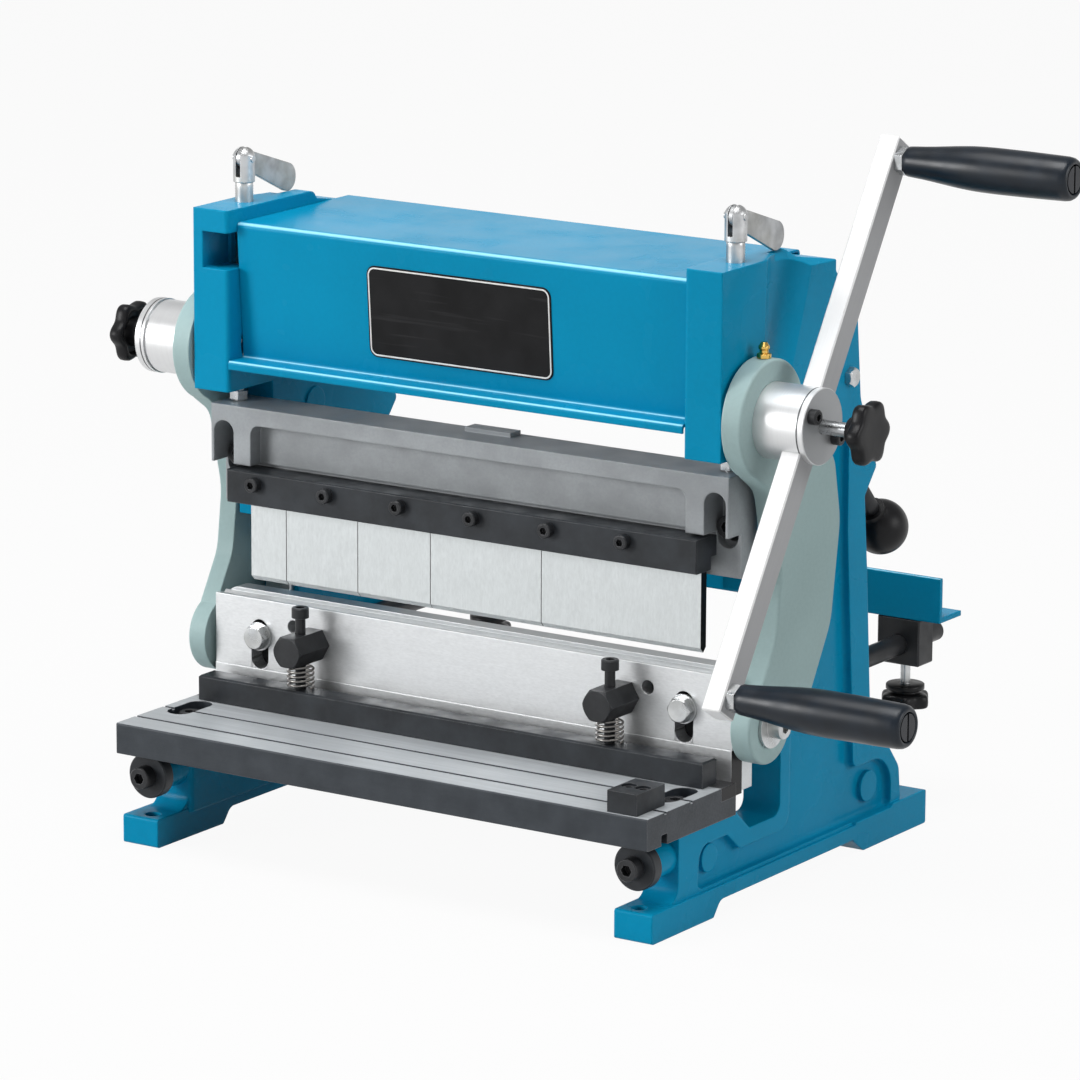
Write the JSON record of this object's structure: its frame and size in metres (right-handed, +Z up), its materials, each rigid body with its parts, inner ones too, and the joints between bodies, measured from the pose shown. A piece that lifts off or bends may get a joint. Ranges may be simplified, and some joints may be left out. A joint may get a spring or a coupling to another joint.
{
  "type": "combination sheet metal machine",
  "caption": "Hand-cranked bench machine that shears, brakes and slip-rolls thin sheet metal between two cast side frames.",
  "frame": {"origin": "centre of the four foot bolt holes, on the underside of the feet", "axes": "+X along the bed towards the crank, +Y to the rear, +Z up"},
  "size_m": [0.584, 0.3636, 0.4206],
  "materials": {
    "frame_paint": "gloss",
    "rod_paint": "satin",
    "cast_grey": "as cast and machined",
    "table_iron": "machined on top",
    "ground_steel": "ground",
    "black_steel": "black oxide",
    "zinc": "zinc plated",
    "bare_steel": "turned",
    "bronze": "turned",
    "brass": "bright",
    "grip_plastic": "moulded",
    "knob_plastic": "moulded"
  },
  "bodies": {
    "frame": {"left_frame": "frame_paint", "right_frame": "frame_paint", "shaft_bushes": "bronze", "tie_bars": "bare_steel", "hood": "frame_paint", "finger_beam": "cast_grey", "fingers": "ground_steel", "clamp_bar": "black_steel", "socket_screws": "black_steel", "hex_screws": "zinc", "shear_table": "table_iron", "fixed_blade": "ground_steel", "support_discs": "black_steel", "stop_block": "black_steel", "guide_strips": "bare_steel"},
    "crank": {"lower_roll": "bare_steel", "lower_gear": "bare_steel", "hub_left": "bare_steel", "hub_right": "bare_steel", "hub_disc": "bare_steel", "hub_screws": "black_steel", "crank_bar": "ground_steel", "grip_spindles": "zinc"},
    "grip_upper": {"grip_upper": "grip_plastic"},
    "grip_lower": {"grip_lower": "grip_plastic"},
    "star_knob_left": {"star_knob_left": "knob_plastic"},
    "star_knob_right": {"star_knob_right": "knob_plastic"},
    "con_rod_left": {"con_rod_left": "rod_paint", "grease_nipple_left": "brass"},
    "con_rod_right": {"con_rod_right": "rod_paint", "grease_nipple_right": "brass"},
    "beam": {"beam_body": "ground_steel", "bending_die": "ground_steel", "shear_blade": "ground_steel", "beam_screws": "zinc", "hold_down_posts": "black_steel", "pivot_pins": "zinc", "guide_shoes": "bare_steel", "gauge_rods": "black_steel", "spring_left": "black_steel", "spring_right": "black_steel"},
    "hold_down": {"hold_down_bar": "black_steel", "hold_down_screws": "black_steel"},
    "upper_blocks": {"upper_roll_blocks": "bare_steel"},
    "upper_roll": {"upper_roll": "bare_steel", "upper_gear": "bare_steel"},
    "rear_blocks": {"rear_roll_blocks": "bare_steel"},
    "rear_roll": {"rear_roll": "bare_steel"},
    "top_screw_left": {"top_screw_left": "zinc"},
    "top_screw_right": {"top_screw_right": "zinc"},
    "paddle_left": {"paddle_left": "zinc"},
    "paddle_right": {"paddle_right": "zinc"},
    "rear_screw_left": {"rear_screw_left": "black_steel", "ball_knob_left": "knob_plastic"},
    "rear_screw_right": {"rear_screw_right": "black_steel", "ball_knob_right": "knob_plastic"},
    "gauge": {"gauge_angle": "frame_paint", "gauge_blocks": "black_steel"},
    "gauge_lock_left": {"gauge_lock_left": "knob_plastic"},
    "gauge_lock_right": {"gauge_lock_right": "knob_plastic"}
  },
  "joints": [
    {"name": "crank_turn", "type": "hinge", "parent": "frame", "child": "crank", "pos_m": [0, -0.045, 0.28], "axis": [1, 0, 0], "range_deg": [0, 180]},
    {"name": "beam_slide", "type": "slide", "parent": "frame", "child": "beam", "axis": [0, 0, 1], "range_m": [0, 0.012]},
    {"name": "con_rod_left_swing", "type": "hinge", "parent": "crank", "child": "con_rod_left", "pos_m": [-0.1845, -0.045, 0.274], "axis": [1, 0, 0], "range_deg": [-180, 0]},
    {"name": "con_rod_right_swing", "type": "hinge", "parent": "crank", "child": "con_rod_right", "pos_m": [0.1845, -0.045, 0.274], "axis": [1, 0, 0], "range_deg": [-180, 0]},
    {"name": "grip_upper_spin", "type": "hinge", "parent": "crank", "child": "grip_upper", "pos_m": [0.275, 0.03893, 0.40727], "axis": [1, 0, 0], "continuous": true},
    {"name": "grip_lower_spin", "type": "hinge", "parent": "crank", "child": "grip_lower", "pos_m": [0.275, -0.12893, 0.14072], "axis": [1, 0, 0], "continuous": true},
    {"name": "star_knob_right_turn", "type": "hinge", "parent": "crank", "child": "star_knob_right", "pos_m": [0.249, -0.045, 0.274], "axis": [1, 0, 0], "range_deg": [0, 360]},
    {"name": "star_knob_left_turn", "type": "hinge", "parent": "crank", "child": "star_knob_left", "pos_m": [-0.249, -0.045, 0.274], "axis": [1, 0, 0], "range_deg": [0, 360]},
    {"name": "hold_down_slide", "type": "slide", "parent": "beam", "child": "hold_down", "axis": [0, 0, 1], "range_m": [-0.0095, 0], "deforming": ["spring_left", "spring_right"]},
    {"name": "upper_roll_lift", "type": "slide", "parent": "frame", "child": "upper_blocks", "axis": [0, 0, 1], "range_m": [0, 0.003]},
    {"name": "upper_roll_turn", "type": "hinge", "parent": "upper_blocks", "child": "upper_roll", "pos_m": [0, -0.043, 0.30993], "axis": [1, 0, 0], "range_deg": [-180, 0]},
    {"name": "rear_roll_lift", "type": "slide", "parent": "frame", "child": "rear_blocks", "axis": [0, -0.6842, 0.7293], "range_m": [0, 0.012]},
    {"name": "rear_roll_turn", "type": "hinge", "parent": "rear_blocks", "child": "rear_roll", "pos_m": [0, 0.01, 0.295], "axis": [1, 0, 0], "continuous": true},
    {"name": "top_screw_left_turn", "type": "hinge", "parent": "upper_blocks", "child": "top_screw_left", "pos_m": [-0.1645, -0.043, 0.35], "axis": [0, 0, 1], "range_deg": [0, 540]},
    {"name": "paddle_left_fold", "type": "hinge", "parent": "top_screw_left", "child": "paddle_left", "pos_m": [-0.1645, -0.043, 0.383], "axis": [1, 0, 0], "range_deg": [0, 220]},
    {"name": "rear_screw_left_turn", "type": "hinge", "parent": "rear_blocks", "child": "rear_screw_left", "pos_m": [-0.1645, 0.086, 0.214], "axis": [0, -0.6842, 0.7293], "range_deg": [0, 2160]},
    {"name": "top_screw_right_turn", "type": "hinge", "parent": "upper_blocks", "child": "top_screw_right", "pos_m": [0.1645, -0.043, 0.35], "axis": [0, 0, 1], "range_deg": [0, 540]},
    {"name": "paddle_right_fold", "type": "hinge", "parent": "top_screw_right", "child": "paddle_right", "pos_m": [0.1645, -0.043, 0.383], "axis": [1, 0, 0], "range_deg": [0, 220]},
    {"name": "rear_screw_right_turn", "type": "hinge", "parent": "rear_blocks", "child": "rear_screw_right", "pos_m": [0.1645, 0.086, 0.214], "axis": [0, -0.6842, 0.7293], "range_deg": [0, 2160]},
    {"name": "gauge_slide", "type": "slide", "parent": "beam", "child": "gauge", "axis": [0, 1, 0], "range_m": [-0.045, 0.02]},
    {"name": "gauge_lock_left_turn", "type": "hinge", "parent": "gauge", "child": "gauge_lock_left", "pos_m": [-0.1465, 0.1795, 0.07], "axis": [0, 0, 1], "range_deg": [-360, 0]},
    {"name": "gauge_lock_right_turn", "type": "hinge", "parent": "gauge", "child": "gauge_lock_right", "pos_m": [0.1465, 0.1795, 0.07], "axis": [0, 0, 1], "range_deg": [-360, 0]}
  ],
  "couplings": [
    {"joint": "beam_slide", "follows": "crank_turn", "m_per_rad": 0.0038197},
    {"joint": "con_rod_left_swing", "follows": "crank_turn", "ratio": -1},
    {"joint": "con_rod_right_swing", "follows": "crank_turn", "ratio": -1},
    {"joint": "hold_down_slide", "follows": "crank_turn", "m_per_rad": -0.0030239},
    {"joint": "upper_roll_turn", "follows": "crank_turn", "ratio": -1},
    {"joint": "top_screw_left_turn", "follows": "upper_roll_lift", "rad_per_m": 3141.6},
    {"joint": "rear_screw_left_turn", "follows": "rear_roll_lift", "rad_per_m": 3141.6},
    {"joint": "top_screw_right_turn", "follows": "upper_roll_lift", "rad_per_m": 3141.6},
    {"joint": "rear_screw_right_turn", "follows": "rear_roll_lift", "rad_per_m": 3141.6}
  ]
}
